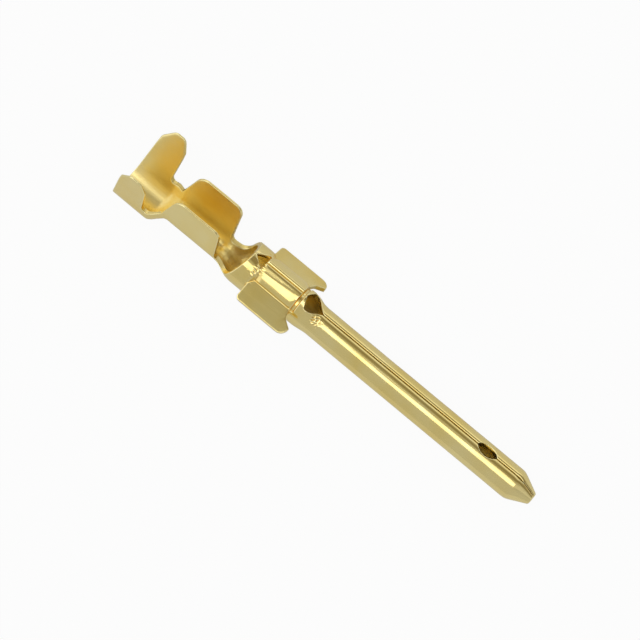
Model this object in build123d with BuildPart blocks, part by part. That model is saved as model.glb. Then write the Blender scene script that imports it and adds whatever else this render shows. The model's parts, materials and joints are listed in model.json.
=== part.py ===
from build123d import *
import math
import os

# A crimp pin contact, stamped and folded from one piece of sheet. Millimetres.
# It is shaped with the pin along +X, the seam and the open barrels towards +Z,
# and X = 0 where the neck meets the pin. At the end it is laid down as it comes to rest.

# Sheet, and what is left of it where the wing tips were squeezed thin
sheet = 0.16
tip_sheet = 0.08

# Pin, rolled until its edges meet at the seam
pin_d = 1.02
pin_l = 7.36
point_l = 0.66
point_end_d = 0.38
nose_round = 0.08
seam_gap = 0.03
seam_round = 0.05

# Vent hole, a lens on the seam, its middle set back from the tip
vent_l = 0.72
vent_w = 0.40
vent_back = 1.91

# Shoulder and hub: the tube behind the pin is an oval that peaks at the seam
neck_l = 0.20
shoulder_l = 0.55
collar_l = 0.28
hub_w = 1.13
hub_top = 0.76
hub_rise = 0.015
hub_step_l = 0.20

# Ring behind the hub, and the lip where it opens
ring_l = 0.52
ring_d = 1.51
lip_l = 0.46

# Openings along the seam
front_opening_l = 0.88
front_opening_w = 0.68
front_opening_lip = 0.16
front_opening_neck_l = 0.33
front_opening_neck_w = 0.27
rear_opening_l = 0.41
rear_opening_w = 0.58

# Retention wings: the sheet's edges are folded back at the seam and lie on the hub down to
# the root line, from where they stand out
wing_root_l = 1.40
hem_round = 0.09
relief_w = 0.12
wing_root_y = 0.51
wing_slope = 23.0
wing_span = 2.46
wing_rear_overhang = 0.07
wing_front_overhang = 0.36
wing_nose_w = 0.30
wing_rear_round = 0.14
wing_front_round = 0.28
wing_relief_l = 0.09
wing_relief_w = 0.30
wing_relief_round = 0.12

# Trough between the ring and the wire barrel
trough_l = 0.77
trough_depth = 0.30
trough_round = 0.22

# Wire barrel
wire_l = 2.03
wire_w = 1.07
wire_lean = 5.0
wire_top = 1.18
wire_rear_slant = 0.32
wire_rear_round = 0.42
wire_front_slant = 0.10
wire_front_round = 0.30

# Step down to the insulation barrel
notch_l = 0.55
notch_depth = 0.36
notch_round = 0.14
step_l = 0.60
step_reach = 0.22

# Insulation barrel
ins_l = 1.06
ins_w = 1.56
ins_middle = -0.26
ins_lean = 12.0
ins_top = 1.37
ins_tip_l = 0.40
ins_tip_h = 0.46
ins_rear_slant = 0.12
ins_rear_cut = 0.34
ins_round = 0.20

# How it is turned from the shaped position to the one in which it comes to rest
rest_roll = -38.91
rest_pitch = 1.99

# Stations along X, worked backwards from the pin, and radii that others build on
hub_front = -neck_l - shoulder_l
root_front = hub_front - collar_l
root_rear = root_front - wing_root_l
hub_rear = root_rear + hub_step_l / 2
ring_front = hub_rear - hub_step_l
ring_rear = ring_front - ring_l
wire_front = ring_rear - trough_l
wire_rear = wire_front - wire_l
ins_front = wire_rear - notch_l
ins_rear = ins_front - ins_l
step_front = wire_rear + step_reach
step_rear = step_front - step_l
tip = pin_l + point_l
pin_r = pin_d / 2
hub_r = hub_w / 2
ring_r = ring_d / 2
wire_r = wire_w / 2
ins_r = ins_w / 2
root_z = (hub_top + hub_rise) * math.sqrt(1 - (wing_root_y / (hub_r + hub_rise)) ** 2)
wing_w = (wing_span / 2 - wing_root_y) / math.cos(math.radians(wing_slope))
wing_rear = root_rear - wing_rear_overhang
wing_front = root_front + wing_front_overhang
reach = 3 * ring_d


def eased(start, end, count=6):
    """Stations from start to end: x goes evenly, every other size starts and ends gently."""
    for i in range(count + 1):
        even = i / count
        gentle = (1 - math.cos(math.pi * even)) / 2
        yield [a + (b - a) * (gentle if k else even) for k, (a, b) in enumerate(zip(start, end))]


def channel(x, radius, middle, lean, top):
    """The sheet bent to a U at x: round bottom about height middle, walls that lean out by lean degrees."""
    out, up = math.sin(math.radians(lean)), math.cos(math.radians(lean))
    foot_y, foot_z = radius * up, middle - radius * out
    inner_y, inner_z = foot_y - sheet * up, foot_z + sheet * out
    top_y = foot_y + (top - foot_z) / up * out
    with BuildSketch(Plane.YZ.offset(x)) as section:
        with BuildLine():
            ThreePointArc((-foot_y, foot_z), (0, middle - radius), (foot_y, foot_z))
            Polyline((foot_y, foot_z), (top_y, top), (top_y - tip_sheet, top), (inner_y, inner_z))
            ThreePointArc((inner_y, inner_z), (0, middle - radius + sheet), (-inner_y, inner_z))
            Polyline((-inner_y, inner_z), (tip_sheet - top_y, top), (-top_y, top), (-foot_y, foot_z))
        make_face()
    return section.sketch


def rolled(x, half_w, top, inset=0):
    """The closed tube at x: round below, and above the middle half an ellipse that peaks at the seam."""
    half_w, top = half_w - inset, top - inset
    with BuildSketch(Plane.YZ.offset(x)) as section:
        with BuildLine():
            ThreePointArc((-half_w, 0), (0, -half_w), (half_w, 0))
            EllipticalCenterArc((0, 0), top, half_w, start_angle=-90, arc_size=180, rotation=90)
        make_face()
    return section.sketch


def vent(z):
    """The vent's outline at height z: its sides run towards the pin's axis, as the sheet was bent."""
    middle, half_w = tip - vent_back, vent_w / 2 * z / pin_r
    with BuildSketch(Plane.XY.offset(z)) as outline:
        with BuildLine():
            for side in (-half_w, half_w):
                ThreePointArc((middle - vent_l / 2, 0), (middle, side), (middle + vent_l / 2, 0))
        make_face()
    return outline.sketch


with BuildPart() as folded:
    # Pin: a tube with a seam whose outer edges are rounded
    with BuildSketch(Plane.YZ.offset(-neck_l)):
        Circle(pin_r)
        Circle(pin_r - sheet, mode=Mode.SUBTRACT)
        Rectangle(seam_gap, pin_d, align=(Align.CENTER, Align.MIN), mode=Mode.SUBTRACT)
    extrude(amount=neck_l + pin_l)
    fillet(folded.edges().filter_by(Axis.X).group_by(Axis.Z)[-1], seam_round)

    # Point: the wall closes in on itself, with the seam still open
    with BuildSketch(Plane.XZ):
        with BuildLine():
            Polyline((tip - sheet, 0), (pin_l, pin_r - sheet), (pin_l, pin_r))
            FilletPolyline((pin_l, pin_r), (tip, point_end_d / 2), (tip, 0), radius=nose_round)
            Line((tip, 0), (tip - sheet, 0))
        make_face()
    revolve(axis=Axis.X)
    with Locations((pin_l, 0, 0)):
        Box(point_l, seam_gap, reach, align=(Align.MIN, Align.CENTER, Align.MIN), mode=Mode.SUBTRACT)
    loft([vent((pin_r - sheet) / 2), vent(pin_r + sheet)], mode=Mode.SUBTRACT)

    # Insulation barrel, the step, and the wire barrel: one channel with walls of full height
    ins = [ins_r, ins_middle, ins_lean, ins_top]
    wire = [wire_r, 0, wire_lean, wire_top]
    extrude(channel(ins_rear - ins_rear_slant, *ins), amount=step_rear - ins_rear + ins_rear_slant)
    loft([channel(*s) for s in eased([step_rear, *ins], [step_front, *wire])])
    extrude(channel(step_front, *wire), amount=wire_front - step_front)

    # Trough, ring, hub and shoulder: one tube that is drawn from one section to the next
    tube = [(wire_front, wire_r, wire_r), (ring_rear, ring_r, ring_r), (ring_front, ring_r, ring_r),
            (hub_rear, hub_r, hub_top), (hub_front, hub_r, hub_top), (-neck_l, pin_r, pin_r)]
    for inset, mode in ((0, Mode.ADD), (sheet, Mode.SUBTRACT)):
        for start, end in zip(tube, tube[1:]):
            if start[1:] == end[1:]:
                extrude(rolled(*start, inset), amount=end[0] - start[0], mode=mode)
            else:
                loft([rolled(*s, inset) for s in eased(start, end)], mode=mode)

    # The hub's wall is doubled where the edges are folded back, and a relief cut parts it from the collar
    extrude(rolled(root_rear, hub_r + hub_rise, hub_top + hub_rise), amount=wing_root_l)
    with Locations((root_front, 0, root_z - sheet / 2)):
        Box(relief_w, hub_w, reach, align=(Align.MIN, Align.CENTER, Align.MIN), mode=Mode.SUBTRACT)
    for inset, mode in ((0, Mode.ADD), (sheet, Mode.SUBTRACT)):
        extrude(rolled(root_rear, hub_r - hub_rise, hub_top - sheet, inset),
                amount=-front_opening_l - root_rear, mode=mode)

    # Side view: the wings' outlines, the low walls between them and the ring's lip
    with BuildSketch(Plane.XZ):
        with BuildLine():
            corners = [
                ((tip, -reach), 0),
                ((ins_rear - ins_rear_slant, -reach), 0),
                ((ins_rear - ins_rear_slant / 2, ins_middle - ins_r), 0),
                ((ins_rear + ins_rear_slant, ins_top - ins_tip_h), ins_round),
                ((ins_rear + ins_rear_slant + ins_rear_cut, ins_top), ins_round),
                ((ins_rear + ins_rear_slant + ins_rear_cut + ins_tip_l, ins_top), ins_round),
                ((ins_front, ins_top - ins_tip_h), ins_round),
                ((ins_front, -notch_depth), notch_round),
                ((wire_rear, 0), notch_round),
                ((wire_rear + wire_rear_slant, wire_top), wire_rear_round),
                ((wire_front - wire_front_slant, wire_top), wire_front_round),
                ((wire_front, -trough_depth / 2), notch_round),
                ((ring_rear - lip_l / 2, -trough_depth), trough_round),
                ((ring_rear + lip_l / 2, ring_r + sheet), 0),
                ((ring_rear + lip_l / 2, reach), 0),
                ((tip, reach), 0),
            ]
            FilletPolyline(*[p for p, r in corners], radius=[r for p, r in corners], close=True)
        make_face()
    extrude(amount=reach, both=True, mode=Mode.INTERSECT)

    # Retention wings, flat plates that leave the hub at its root line
    for side in (1, -1):
        lean = math.radians(wing_slope)
        wing_plane = Plane(origin=(0, side * wing_root_y, root_z), x_dir=(1, 0, 0),
                           z_dir=(0, side * math.sin(lean), math.cos(lean)))
        corners = [
            ((root_rear, -sheet / 2), 0),
            ((root_rear, 0), 0),
            ((wing_rear, wing_rear_overhang / 2), 0),
            ((wing_rear, wing_w), wing_rear_round),
            ((wing_front, wing_w), wing_front_round),
            ((wing_front, wing_w - wing_nose_w), 0),
            ((root_front + wing_relief_l, wing_relief_w), wing_relief_round),
            ((root_front, wing_rear_overhang), 0),
            ((root_front, -sheet / 2), 0),
        ]
        with BuildSketch(wing_plane):
            with BuildLine():
                FilletPolyline(*[(x, side * y) for (x, y), r in corners],
                               radius=[r for p, r in corners], close=True)
            make_face()
        extrude(amount=-sheet)

    # Openings along the seam
    with BuildSketch(Plane.XY):
        with BuildLine():
            widest = -front_opening_l + front_opening_lip
            for side in (1, -1):
                Polyline((-front_opening_l, 0), (widest, side * front_opening_w / 2))
                Spline((widest, side * front_opening_w / 2),
                       (-front_opening_neck_l, side * front_opening_neck_w / 2),
                       (0, 0), tangents=[(1, 0), (1, 0)])
        make_face()
    extrude(amount=reach, mode=Mode.SUBTRACT)
    with BuildSketch(Plane.XY):
        with BuildLine():
            Polyline((root_rear - rear_opening_l, 0), (root_rear, rear_opening_w / 2),
                     (root_rear, -rear_opening_w / 2), close=True)
        make_face()
    extrude(amount=reach, mode=Mode.SUBTRACT)

    # The seam, with round folds on both sides of it along the hub
    with Locations((ring_rear, 0, 0)):
        Box(-ring_rear, seam_gap, reach, align=(Align.MIN, Align.CENTER, Align.MIN), mode=Mode.SUBTRACT)
    with BuildSketch(Plane.YZ.offset(root_rear)):
        with BuildLine():
            crest = hub_top + hub_rise
            edge_y = seam_gap / 2
            TangentArc((edge_y, crest - hem_round), (edge_y + hem_round, crest), tangent=(0, 1))
            Polyline((edge_y + hem_round, crest), (edge_y, reach),
                     (-edge_y, reach), (-edge_y - hem_round, crest))
            TangentArc((-edge_y, crest - hem_round), (-edge_y - hem_round, crest), tangent=(0, 1))
            Line((-edge_y, crest - hem_round), (edge_y, crest - hem_round))
        make_face()
    extrude(amount=wing_root_l, mode=Mode.SUBTRACT)

# It lies on the insulation barrel, one wing and the front of the pin, with the pin's axis above +X
turned = folded.part.rotate(Axis.X, rest_roll).rotate(Axis.Y, rest_pitch)
box = turned.bounding_box()
with BuildPart() as pin_contact:
    with Locations((-box.center().X, -box.center().Y, -box.min.Z)):
        add(turned)
pin_contact.part.label = "pin_contact"
os.makedirs("parts", exist_ok=True)
export_step(pin_contact.part, "parts/pin_contact.step")
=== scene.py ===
# %% [markdown]
# A crimp pin contact, stamped from thin sheet, folded and plated with pale gold.
# The fixed frame already holds its exact solid. This lesson gives that solid the skin of the real
# thing: edges that the press and the plating bath have softened, small dents where the sheet was
# forced into shape, and a metal whose look comes from what it mirrors.

# %% Load the frame
import json
import math

import bpy
import numpy as np
from mathutils import Euler, Matrix, Vector


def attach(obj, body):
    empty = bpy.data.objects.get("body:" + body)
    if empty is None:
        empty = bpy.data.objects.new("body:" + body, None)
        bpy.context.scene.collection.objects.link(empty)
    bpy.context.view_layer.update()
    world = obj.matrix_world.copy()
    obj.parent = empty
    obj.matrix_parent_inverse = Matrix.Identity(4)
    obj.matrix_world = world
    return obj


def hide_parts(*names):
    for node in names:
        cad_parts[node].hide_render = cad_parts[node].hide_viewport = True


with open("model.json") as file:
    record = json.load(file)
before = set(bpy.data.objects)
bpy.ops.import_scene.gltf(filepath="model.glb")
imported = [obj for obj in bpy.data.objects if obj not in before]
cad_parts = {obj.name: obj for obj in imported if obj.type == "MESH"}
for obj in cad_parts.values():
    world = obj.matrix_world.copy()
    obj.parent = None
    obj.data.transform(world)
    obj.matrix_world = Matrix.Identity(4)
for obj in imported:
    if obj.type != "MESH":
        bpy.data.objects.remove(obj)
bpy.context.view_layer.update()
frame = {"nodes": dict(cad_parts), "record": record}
scene = bpy.context.scene
MM = 0.001

# %% [markdown]
# Every place on the contact is easiest to name along its own axis: x from the neck towards the
# point, z towards the seam, y across. The record's pin mount gives a point on that axis and its
# direction, and the contact lies rolled over on one wing. Three unit vectors made from these are
# the rows of one matrix, which turns places in the scene to places on the contact in millimetres.

# %% The contact's own axes
ROLL = math.radians(38.91)          # how far the seam leans over as the contact lies
PIN_MIDDLE = 3.58 * MM              # from the neck to the middle of the straight pin
mounts = {mount["name"]: mount for mount in frame["record"]["mounts"]}
along = np.array(mounts["pin"]["axis"], float)
along /= np.linalg.norm(along)
across = np.array([0.0, math.cos(ROLL), -math.sin(ROLL)])
across -= along * (across @ along)
across /= np.linalg.norm(across)
upward = np.cross(along, across)
neck = np.array(mounts["pin"]["pos_m"], float) - PIN_MIDDLE * along
own_rows = [[*(axis / MM), -(axis @ neck) / MM] for axis in (along, across, upward)]
own_frame = Matrix(own_rows + [[0, 0, 0, 1]])
print("seam leans by", round(math.degrees(math.atan2(upward[1], upward[2])), 1), "degrees")

# %% [markdown]
# The solid's mesh is made of loose triangles, and its edges are perfectly sharp. A mirror-like
# metal shows both faults at once. A bevel could soften the edges, but it fails where many short
# edges meet, as at the folds. Wrapping the merged mesh in a fine skin of small even squares, and
# relaxing it a little, rounds every edge by about the same few hundredths of a millimetre, which
# is what tumbling and plating do to the real part. The squares follow the three axes, so the
# contact is first turned to its own: then its pin and seam run along the rows of squares.

# %% Wrap the solid in a fine skin
SAME_PLACE = 0.0001                 # mm, corners of loose triangles this close are one vertex
SKIN_STEP = 0.015                   # mm, half of the gap at the seam, so that the seam stays open
RELAX_STEPS = 6


def apply_modifier(piece, kind, **settings):
    """Adds a modifier with its settings, and applies it to the mesh."""
    modifier = piece.modifiers.new(kind.title(), kind)
    for setting, value in settings.items():
        setattr(modifier, setting, value)
    bpy.context.view_layer.objects.active = piece
    bpy.ops.object.modifier_apply(modifier=modifier.name)


def wrapped_copy(cad_object, name):
    """A merged copy of a solid's mesh in its own frame, in millimetres, inside a fine even skin."""
    piece = bpy.data.objects.new(name, cad_object.data.copy())
    scene.collection.objects.link(piece)
    piece.data.transform(own_frame)
    apply_modifier(piece, "WELD", merge_threshold=SAME_PLACE)
    apply_modifier(piece, "REMESH", mode="VOXEL", voxel_size=SKIN_STEP)
    apply_modifier(piece, "SMOOTH", factor=0.5, iterations=RELAX_STEPS)
    return piece


contact = wrapped_copy(frame["nodes"]["pin_contact"], "gold_plated_contact")
print("skin:", len(contact.data.polygons), "squares")

# %% [markdown]
# Some places are rounder than the rest: the rim where the pin turns into its point, and the tips
# of the insulation wings, which were squeezed and rubbed as they were formed. The same relaxing is
# repeated there many times. It is written out in numpy, because that lets each place have its own
# strength, and each step handles only the edges of the mesh that lie there.

# %% Relax the rounder places
FAR = 100                           # mm, much further than any place on the contact
POINT_RIM = (7.28, 7.44)            # mm along the contact, on both sides of the rim
INSULATION_WINGS = (-8, -6.2)       # mm along the contact
WING_TIPS = (0.75, 2)               # mm above the pin's axis
LEAST_WEIGHT = 0.01                 # a vertex with less stays where it is


def near(places, middle, reach):
    """A soft ball: exp(-distance squared), each axis counted in its own reach."""
    away = (places - np.array(middle)) / np.array(reach)
    return np.exp(-(away ** 2).sum(axis=1))


def between(values, start, end, soft):
    """1 between start and end, easing to 0 over soft: half a tanh up, times half a tanh down."""
    return (1 + np.tanh((values - start) / soft)) * (1 + np.tanh((end - values) / soft)) / 4


def read_vertices(mesh, what="co"):
    """One row of x, y and z for each vertex, of its place or of its normal."""
    values = np.empty(len(mesh.vertices) * 3)
    mesh.vertices.foreach_get(what, values)
    return values.reshape(-1, 3)


def write_vertices(mesh, points):
    """Puts the places back into the mesh."""
    mesh.vertices.foreach_set("co", points.ravel())
    mesh.update()


def neighbours(mesh):
    """Each edge of the mesh both ways, as the vertex it leaves and the vertex it reaches."""
    ends = np.empty(len(mesh.edges) * 2, int)
    mesh.edges.foreach_get("vertices", ends)
    ends = ends.reshape(-1, 2)
    return np.concatenate([ends, ends[:, ::-1]]).T


def relax(mesh, weight, steps):
    """Each step moves a vertex by weight / 2 of the way to the mean of its neighbours."""
    points = read_vertices(mesh)
    leaves, reaches = neighbours(mesh)
    here = weight[leaves] > LEAST_WEIGHT
    moved, rows = np.unique(leaves[here], return_inverse=True)
    reaches = reaches[here]
    count = np.bincount(rows)[:, None]
    share = weight[moved, None] / 2
    for _ in range(steps):
        mean = np.stack([np.bincount(rows, points[reaches, k]) for k in range(3)], axis=1) / count
        points[moved] += share * (mean - points[moved])
    write_vertices(mesh, points)
    print("relaxed:", len(moved), "vertices,", steps, "times")


x, _, z = read_vertices(contact.data).T
at_rim = between(x, *POINT_RIM, 0.05)
at_tips = between(z, *WING_TIPS, 0.08) * between(x, *INSULATION_WINGS, 0.05)
relax(contact.data, at_rim, steps=90)
relax(contact.data, at_tips, steps=30)

# %% [markdown]
# Thin sheet never comes out of the tool quite true. The flats keep a long, faint swell, the
# transitions keep small puckers where the metal had to gather, and a punch leaves a round mark.
# All are heights along the surface's own normal. A rippled height adds up many cosine waves in
# random directions, which is smooth, never repeats, and is one sum over whole arrays.
# The two edges that meet at the pin's seam were rolled inwards until they all but touch, so the
# seam lies in a shallow valley. The folded-back wings pressed the hub's sides flatter than an oval.

# %% Press the marks of forming into the skin
WAVES = 24
SWELL, SWELL_WAVE = 0.0012, 1.3     # mm high, and mm from crest to crest
PUCKER_WAVE = 0.15                  # mm from one small crease to the next
HUB_PUCKER, SHOULDER_PUCKER = 0.022, 0.03   # mm deep where a crease is 1 high
PUNCH = 0.05                        # mm deep in the middle
HUB_FULLER = 0.06                   # mm that the hub's flatter sides stand out
VALLEY, VALLEY_HALF = 0.014, 0.07   # mm deep along the pin's seam, and mm to its side
SEAM_CLOSED, SEAM_HALF = 0.96, 0.04     # the share of the gap that is closed, and mm to its side
UPPER_WALL = (0.12, 1)              # mm above the axis, the wall on the seam's side
PAST_TIP = 8.5                      # mm along the contact

# The middle of each mark on the contact, and how far it reaches along each axis, in mm
ON_HUB = (-2.50, 0, 0.60), (0.12, 0.60, 0.30)
ON_SHOULDER = (-0.22, -0.28, 0.42), (0.14, 0.14, 0.16)
IN_WIRE_BARREL = (-3.90, 0.13, -0.35), (0.12, 0.12, 0.12)
BESIDE_WING_ROOT = (0, 0.49, 0.42), (FAR, 0.20, 0.20)


def ripple(places, wavelength, seed):
    """The sum of cosine waves in random ways, over the root of how many there are.

    One wave is cos(direction . place * 2 pi / wavelength + phase).
    """
    random = np.random.default_rng(seed)
    ways = random.normal(size=(WAVES, 3))
    ways /= np.linalg.norm(ways, axis=1)[:, None]
    phases = random.uniform(0, 2 * math.pi, WAVES)
    waves = np.cos(places @ ways.T * (2 * math.pi / wavelength) + phases)
    return waves.sum(axis=1) / math.sqrt(WAVES)


def press_marks(mesh):
    """Moves each vertex along its normal by the sum of all marks, then draws the seam together."""
    points, normals = read_vertices(mesh), read_vertices(mesh, "normal")
    x, y, z = points.T
    side = np.stack([x, np.abs(y), z], axis=1)
    swell = SWELL * ripple(points, SWELL_WAVE, seed=1)
    gathered = HUB_PUCKER * near(points, *ON_HUB) + SHOULDER_PUCKER * near(points, *ON_SHOULDER)
    pucker = -gathered * np.abs(ripple(points, PUCKER_WAVE, seed=2))
    punch = -PUNCH * near(points, *IN_WIRE_BARREL)
    on_pin = between(x, -0.15, PAST_TIP, 0.08) * between(z, *UPPER_WALL, 0.03)
    seam_valley = -VALLEY * np.exp(-(y / VALLEY_HALF) ** 2) * on_pin
    on_hub_side = between(x, -2.30, -1.10, 0.06) * between(side[:, 1], 0, 0.505, 0.015)
    hub_flat = HUB_FULLER * near(side, *BESIDE_WING_ROOT) * on_hub_side
    points += normals * (swell + pucker + punch + seam_valley + hub_flat)[:, None]
    on_seam = between(x, -3.2, PAST_TIP, 0.05) * between(z, *UPPER_WALL, 0.03)
    points[:, 1] *= 1 - SEAM_CLOSED * np.exp(-(y / SEAM_HALF) ** 2) * on_seam
    write_vertices(mesh, points)
    print("deepest mark, mm:", round(float((pucker + punch + seam_valley).min()), 3))


press_marks(contact.data)

# %% [markdown]
# The even skin spends as many squares on a flat as on an edge. Collapsing edges keeps the places
# that bend and thins out the rest. The faces are then shaded smooth, because no true edge is left
# that is sharper than the skin itself.

# %% Thin out the skin
MOST_TRIANGLES = 180000

triangles = sum(len(face.vertices) - 2 for face in contact.data.polygons)
apply_modifier(contact, "DECIMATE", ratio=min(1.0, MOST_TRIANGLES / triangles))
print("contact:", len(contact.data.polygons), "faces, from", triangles, "triangles")

# %% [markdown]
# Edges rub against each other in the tumbling drum and come out glossier, and their colour is
# painted paler than the flats, partly wear and partly a painted highlight. Inner corners stay
# duller, and their colour is painted darker and warmer as painted shade. Both need to know how the
# surface bends. Along one edge of the mesh that is twice the drop below the vertex's tangent plane,
# over the edge's length squared. Its mean over all edges of a vertex, evened out once, is stored as
# an attribute.

# %% Measure how the surface bends
# The bend at which an edge is painted fully paler, partly wear and partly painted highlight, and an
# inner corner fully darker, as painted shade.
EDGE_BEND = 12.0                    # per mm, the mean bend of an edge that counts as fully worn
LEAST_SQUARE = 1e-8                 # square mm, so that no edge counts as shorter than 0.0001 mm


def store_bend(mesh, name):
    """An attribute from -1 in a sharp inner corner, over 0 on a flat, to 1 on a sharp edge."""
    points, normals = read_vertices(mesh), read_vertices(mesh, "normal")
    leaves, reaches = neighbours(mesh)
    along_edge = points[leaves] - points[reaches]
    drop = (normals[leaves] * along_edge).sum(axis=1)
    bend = 2 * drop / np.maximum((along_edge ** 2).sum(axis=1), LEAST_SQUARE)
    count = np.bincount(leaves, minlength=len(points))
    mean = np.bincount(leaves, bend, len(points)) / count
    mean = np.bincount(leaves, mean[reaches], len(points)) / count
    # Towards -1 an inner corner gets painted shade in the gold's colour, and towards 1 an edge is
    # painted paler, partly wear and partly painted highlight.
    edge_wear_sheen_and_corner_shade = np.clip(mean / EDGE_BEND, -1, 1)
    mesh.attributes.new(name, "FLOAT", "POINT").data.foreach_set("value", edge_wear_sheen_and_corner_shade)
    print(name, "from", round(float(edge_wear_sheen_and_corner_shade.min()), 2), "to", round(float(edge_wear_sheen_and_corner_shade.max()), 2))


store_bend(contact.data, "bend")

# %% [markdown]
# The sheet's outer face slid along the polished die and was burnished. Its inner face only met the
# punch, so it stays satin and spreads what it mirrors into one soft glow. A face is an inner one
# where its normal points at the middle line, and a second attribute says so. It counts all the way
# up the barrels' wings, and in front of them only down inside the tube, away from the seam.

# %% Mark the inner face of the sheet
BARRELS_END = -2.9                  # mm along the contact, where the open channel has become a tube
TUBE_INSIDE = (0.50, 0.25)          # mm to each side, and mm up, that hold the inside of the tube
ON_MIDDLE_LINE = 1e-6               # mm, nearer than this there is no way out


def store_inner(mesh, name):
    """An attribute that is 1 on an inner face: minus normal . way out from the middle line."""
    (x, y, z), normals = read_vertices(mesh).T, read_vertices(mesh, "normal")
    way_out = np.stack([y, np.minimum(z, 0)], axis=1)
    way_out /= np.maximum(np.linalg.norm(way_out, axis=1), ON_MIDDLE_LINE)[:, None]
    inwards = -(normals[:, 1:] * way_out).sum(axis=1)
    in_barrels = between(x, -FAR, BARRELS_END, 0.10)
    half_w, top = TUBE_INSIDE
    in_tube = between(np.abs(y), -FAR, half_w, 0.02) * between(z, -FAR, top, 0.03)
    inner = np.clip(2 * inwards, 0, 1) * np.maximum(in_barrels, in_tube)
    mesh.attributes.new(name, "FLOAT", "POINT").data.foreach_set("value", inner)
    print(name, "on", int((inner > 0.5).sum()), "of", len(inner), "vertices")


store_inner(contact.data, "inner")
contact.data.transform(own_frame.inverted())
contact.data.shade_smooth()

# %% [markdown]
# Colours are written the way a paint chart gives them, as sRGB hex, and one function turns them
# to the linear values that light adds up in. One more function adds a node, sets it and links it,
# and every material below is written with it.

# %% Colour and node helpers
def linear(hex_colour):
    """sRGB hex to linear: c / 12.92 if it is dark, else ((c + 0.055) / 1.055) to the power 2.4."""
    digits = hex_colour.lstrip("#")
    channels = [int(digits[i:i + 2], 16) / 255 for i in (0, 2, 4)]
    lit = [c / 12.92 if c <= 0.04045 else ((c + 0.055) / 1.055) ** 2.4 for c in channels]
    return lit + [1.0]


def add(tree, kind, inputs=None, **settings):
    """A new node of a kind with its settings, and for each input a value or another's output."""
    made = tree.nodes.new("ShaderNode" + kind)
    for setting, value in settings.items():
        setattr(made, setting, value)
    for socket, value in (inputs or {}).items():
        if isinstance(value, bpy.types.NodeSocket):
            tree.links.new(value, made.inputs[socket])
        else:
            made.inputs[socket].default_value = value
    return made


def new_material(name):
    """An empty node material and its tree."""
    material = bpy.data.materials.new(name)
    material.use_nodes = True
    material.node_tree.nodes.clear()
    return material, material.node_tree


# %% [markdown]
# Gold flash over nickel on a rolled copper alloy. Gold mirrors nearly all red, four fifths of the
# green and a third of the blue, so its colour deepens each time light bounces inside the barrels.
# The strip was rolled before it was plated, and the rolls leave fine lines. They are really a few
# thousandths of a millimetre apart, and here they are about ten times as coarse so that they show.
# The plating's thickness wanders a little, which shifts its tint, and handling leaves small pits.
# Worn edges are glossier, and painted paler, partly wear and partly a painted highlight. Inner
# corners are duller, and painted warmer and darker as painted shade. The sheet's inner face is
# satin.

# %% Gold plate
ROLL_MARK = 0.05                    # mm between rolling marks, as coarse as they need to be to show
ROLL_MARK_RUN = 1.6                 # mm that one mark runs along the pin
TINT_PATCH = 1.4                    # mm across a patch of one tint
PIT = 0.07                          # mm between pits
PIT_LEVELS = (0.68, 0.80)           # of the pattern, where a pit begins and where it is deepest
RELIEF = 0.0025                     # mm, how deep a pit is
MOST_NOISE = (0.3, 0.7)             # nearly all values of a noise pattern lie between these
ROUGHNESS = (0.14, 0.22)            # from the bottom of a rolling mark to its rim
EDGE_POLISH = 0.05                  # of roughness, what wear takes from an edge
SATIN = 0.20                        # of roughness that the inner face has over the outer one


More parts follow.
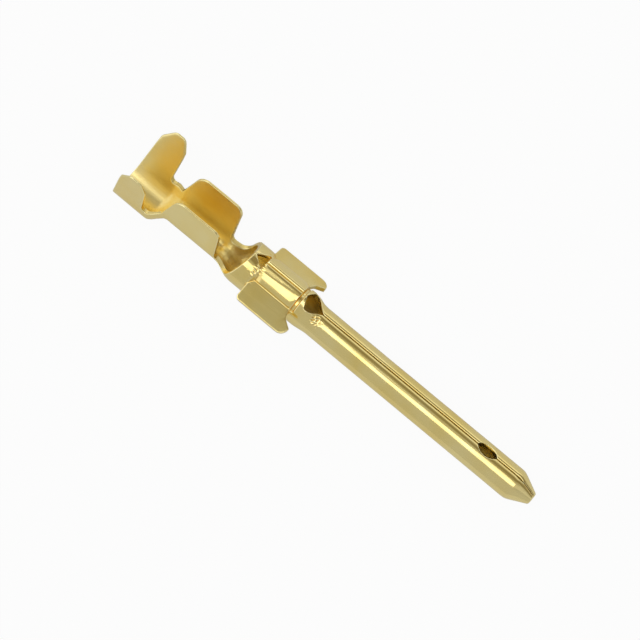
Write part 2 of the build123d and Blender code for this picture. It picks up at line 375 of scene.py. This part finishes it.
def gold_plate():
    """Metal that varies with three patterns in mm, and with the attributes bend and inner."""
    material, tree = new_material("gold_plate_on_rolled_strip")
    place = add(tree, "TexCoord").outputs["Object"]
    turned = add(tree, "Mapping", {
        "Vector": place,
        "Rotation": (0, math.asin(along[2]), 0),
        "Scale": (1 / MM, 1 / MM, 1 / MM),
    }).outputs["Vector"]
    stretched = add(tree, "Mapping", {
        "Vector": turned,
        "Scale": (1 / ROLL_MARK_RUN, 1 / ROLL_MARK, 1 / ROLL_MARK),
    }).outputs["Vector"]
    marks = add(tree, "TexNoise", {"Vector": stretched, "Scale": 1.0, "Detail": 2.0}).outputs["Fac"]
    patches = add(tree, "TexNoise", {
        "Vector": turned, "Scale": 1 / TINT_PATCH, "Detail": 3.0,
    }).outputs["Fac"]
    pits = add(tree, "TexNoise", {"Vector": turned, "Scale": 1 / PIT, "Detail": 1.0}).outputs["Fac"]
    tint = add(tree, "ValToRGB", {"Fac": patches})
    pale, warm = tint.color_ramp.elements
    pale.position, pale.color = 0.35, linear("#FBE9A4")
    warm.position, warm.color = 0.68, linear("#F8DE86")
    bend = add(tree, "Attribute", attribute_name="bend").outputs["Fac"]
    corner_to_edge = add(tree, "MapRange", {
        "Value": bend, "From Min": -1.0, "From Max": 1.0,
    }).outputs["Result"]
    # Painted shade and painted highlight by bend: inner corners get a darker, warmer gold as
    # painted shade, and edges get a paler gold that is partly wear and partly painted highlight.
    edge_wear_sheen_and_corner_shade = add(tree, "ValToRGB", {"Fac": corner_to_edge})
    corner, edge = edge_wear_sheen_and_corner_shade.color_ramp.elements
    corner.position, corner.color = 0.15, linear("#E9BE62")
    edge.position, edge.color = 0.85, linear("#FDEFB0")
    wear_and_shade_share = add(tree, "Math", {0: bend}, operation="ABSOLUTE",
                     use_clamp=True).outputs["Value"]
    # The base colour is the random tint, mixed towards the painted corner shade and the painted
    # paler edges.
    tint_wear_and_painted_shade = add(tree, "MixRGB", {
        "Fac": wear_and_shade_share, "Color1": tint.outputs["Color"], "Color2": edge_wear_sheen_and_corner_shade.outputs["Color"],
    }).outputs["Color"]
    streaked = add(tree, "MapRange", {
        "Value": marks, "From Min": MOST_NOISE[0], "From Max": MOST_NOISE[1],
        "To Min": ROUGHNESS[0], "To Max": ROUGHNESS[1],
    }).outputs["Result"]
    inner = add(tree, "Attribute", attribute_name="inner").outputs["Fac"]
    rubbed = add(tree, "Math", {0: bend, 1: -EDGE_POLISH, 2: streaked},
                 operation="MULTIPLY_ADD").outputs["Value"]
    roughness = add(tree, "Math", {0: inner, 1: SATIN, 2: rubbed},
                    operation="MULTIPLY_ADD").outputs["Value"]
    deep_pits = add(tree, "MapRange", {
        "Value": pits, "From Min": PIT_LEVELS[0], "From Max": PIT_LEVELS[1],
        "To Min": 0.0, "To Max": -1.0,
    }).outputs["Result"]
    height = add(tree, "Math", {0: deep_pits, 1: marks}, operation="ADD").outputs["Value"]
    bumped = add(tree, "Bump", {"Height": height, "Strength": 0.5, "Distance": RELIEF * MM})
    metal = add(tree, "BsdfPrincipled", {
        "Base Color": tint_wear_and_painted_shade,
        "Metallic": 1.0,
        "Roughness": roughness,
        "Normal": bumped.outputs["Normal"],
    })
    add(tree, "OutputMaterial", {"Surface": metal.outputs["BSDF"]})
    return material


contact.data.materials.clear()
contact.data.materials.append(gold_plate())
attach(contact, "root")
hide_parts("pin_contact")

# %% [markdown]
# The floor is a plain pale sheet. The camera sees it as white, with the contact's faint shadow.
# Metal close to a floor sees it a little darker, in the shade between the two, so a glossy ray
# gets less of the white than the camera does.

# %% Floor
FLOOR_HALF = 0.5                    # m from its middle to its side
FLOOR_SQUARES = 8
WHITE_SHARE = 0.94                  # of the floor's colour that is plain white, and not lit
WHITE_IN_GLOSS = 0.05               # the share of that white which a mirrored floor keeps


def flat_sheet(name, half, squares):
    """A square grid: x and y run evenly from -half to half, and z is zero everywhere."""
    steps = np.linspace(-half, half, squares + 1)
    x, y = np.meshgrid(steps, steps)
    points = np.stack([x, y, np.zeros_like(x)], axis=-1).reshape(-1, 3)
    first = (np.arange(squares)[:, None] * (squares + 1) + np.arange(squares)).ravel()
    faces = np.stack([first, first + 1, first + squares + 2, first + squares + 1], axis=1)
    mesh = bpy.data.meshes.new(name)
    mesh.from_pydata(points.tolist(), [], faces.tolist())
    sheet = bpy.data.objects.new(name, mesh)
    scene.collection.objects.link(sheet)
    return sheet


def pale_floor():
    """Matt pale paint, mixed with plain white by the share that each kind of ray sees."""
    material, tree = new_material("matt_pale_floor")
    rays = add(tree, "LightPath").outputs
    direct = add(tree, "Math", {0: rays["Is Camera Ray"], 1: rays["Is Transmission Ray"]},
                 operation="MAXIMUM").outputs["Value"]
    mirrored = add(tree, "Math", {0: rays["Is Glossy Ray"], 1: WHITE_IN_GLOSS},
                   operation="MULTIPLY").outputs["Value"]
    seen = add(tree, "Math", {0: direct, 1: mirrored}, operation="MAXIMUM").outputs["Value"]
    share = add(tree, "Math", {0: seen, 1: WHITE_SHARE}, operation="MULTIPLY").outputs["Value"]
    paint = add(tree, "BsdfDiffuse", {"Color": linear("#E2E2E0")})
    white = add(tree, "Emission", {"Color": linear("#FFFFFF"), "Strength": 1.0})
    mixed = add(tree, "MixShader", {
        0: share, 1: paint.outputs["BSDF"], 2: white.outputs["Emission"],
    })
    add(tree, "OutputMaterial", {"Surface": mixed.outputs["Shader"]})
    return material


floor = flat_sheet("floor", FLOOR_HALF, FLOOR_SQUARES)
floor.data.materials.append(pale_floor())
print("floor:", 2 * FLOOR_HALF, "m square")

# %% [markdown]
# A small plated part is photographed in a tent of white cloth. The camera's background is white.
# What the metal mirrors is that tent: soft grey along its sides, dimmest beside the lens on the
# seam's side, white low down behind the seam, and white at the end behind the barrels. A ramp over
# the direction's y holds the sides, each as y and colour, and its x turns the end to white. The
# rest of the light is one plain level from everywhere.

# %% Tent
PLAIN_LEVEL = 0.62                  # of white, from everywhere
WHITE_END = (-0.15, -0.55)          # a direction's x where the end begins and where it is white
SIDES = ((-1.0, "#BCBCBC"), (-0.32, "#BCBCBC"), (-0.21, "#AAAAAA"), (-0.12, "#CBCBCB"),
         (0.22, "#CBCBCB"), (0.30, "#AAAAAA"), (0.42, "#B0AEA2"), (0.53, "#887F68"),
         (0.74, "#887F68"), (0.90, "#BCBCBC"), (0.96, "#FAFAFA"))


def tent():
    """The world: white to the camera, the tent to a mirror, and one plain level to the rest."""
    world = bpy.data.worlds.new("tent")
    world.use_nodes = True
    tree = world.node_tree
    tree.nodes.clear()
    way = add(tree, "SeparateXYZ", {"Vector": add(tree, "TexCoord").outputs["Generated"]}).outputs
    sideways = add(tree, "Math", {0: way["Y"], 1: 0.5, 2: 0.5}, operation="MULTIPLY_ADD")
    sides = add(tree, "ValToRGB", {"Fac": sideways.outputs["Value"]})
    stops = sides.color_ramp.elements
    while len(stops) < len(SIDES):
        stops.new(0.5)
    for stop, (y, colour) in zip(stops, SIDES):
        stop.position, stop.color = (y + 1) / 2, linear(colour)
    endways = add(tree, "MapRange", {
        "Value": way["X"], "From Min": WHITE_END[0], "From Max": WHITE_END[1],
    }).outputs["Result"]
    cloth_colour = add(tree, "MixRGB", {
        "Fac": endways, "Color1": sides.outputs["Color"], "Color2": linear("#FFFFFF"),
    }).outputs["Color"]
    rays = add(tree, "LightPath").outputs
    direct = add(tree, "Math", {0: rays["Is Camera Ray"], 1: rays["Is Transmission Ray"]},
                 operation="MAXIMUM").outputs["Value"]
    plain = add(tree, "Background", {"Color": linear("#FFFFFF"), "Strength": PLAIN_LEVEL})
    mirrored = add(tree, "Background", {"Color": cloth_colour, "Strength": 1.0})
    white = add(tree, "Background", {"Color": linear("#FFFFFF"), "Strength": 1.0})
    glossy = add(tree, "MixShader", {
        0: rays["Is Glossy Ray"],
        1: plain.outputs["Background"],
        2: mirrored.outputs["Background"],
    })
    shown = add(tree, "MixShader", {
        0: direct,
        1: glossy.outputs["Shader"],
        2: white.outputs["Background"],
    })
    add(tree, "OutputWorld", {"Surface": shown.outputs["Shader"]})
    return world


scene.world = tent()

# %% [markdown]
# One long soft box hangs over the contact, in line with it. On a round pin it shows as a single
# bright band, and on a flat it shows only if the flat faces it. The lamp is written by how bright
# its face looks, where 1 is white, and the power follows from the area. It leans by a few degrees.

# %% Lamp
def soft_box(name, lean, distance, length, width, brightness):
    """A rectangle of light in metres, aimed at the contact; its power is brightness x pi x area."""
    light = bpy.data.lights.new(name, "AREA")
    light.shape = "RECTANGLE"
    light.size, light.size_y = length, width
    light.energy = brightness * math.pi * length * width
    lamp = bpy.data.objects.new(name, light)
    scene.collection.objects.link(lamp)
    lamp.rotation_euler = Euler((math.radians(-lean), 0, 0))
    lamp.location = lamp.rotation_euler.to_matrix() @ Vector((0, 0, distance))
    print(name, "power:", round(light.energy, 4), "W")


soft_box("overhead_box", lean=2, distance=0.30, length=0.34, width=0.12, brightness=1.15)

# %% [markdown]
# The camera looks nearly straight down on the contact as it lies, from a little above its side.
# A long lens keeps the two ends at almost the same scale.

# %% Camera
LENS = 146.25                                    # mm
SENSOR = 36.0                                    # mm across
CAMERA_TURN = (-1.123, 9.502, 39.404)            # degrees about x, y and z
CAMERA_AIM = (-0.418, -0.3125, 0.8)              # mm, the place in the middle of the picture
CAMERA_DISTANCE = 77.174                         # mm from there to the lens

lens = bpy.data.cameras.new("camera")
lens.lens, lens.sensor_width = LENS, SENSOR
lens.clip_start = 1 * MM
camera = bpy.data.objects.new("camera", lens)
scene.collection.objects.link(camera)
camera.rotation_euler = Euler([math.radians(angle) for angle in CAMERA_TURN])
sight = camera.rotation_euler.to_matrix() @ Vector((0, 0, 1))
camera.location = (Vector(CAMERA_AIM) + sight * CAMERA_DISTANCE) * MM
scene.camera = camera
scene.view_settings.view_transform = "Standard"
print("camera:", [round(side / MM, 1) for side in camera.location], "mm")
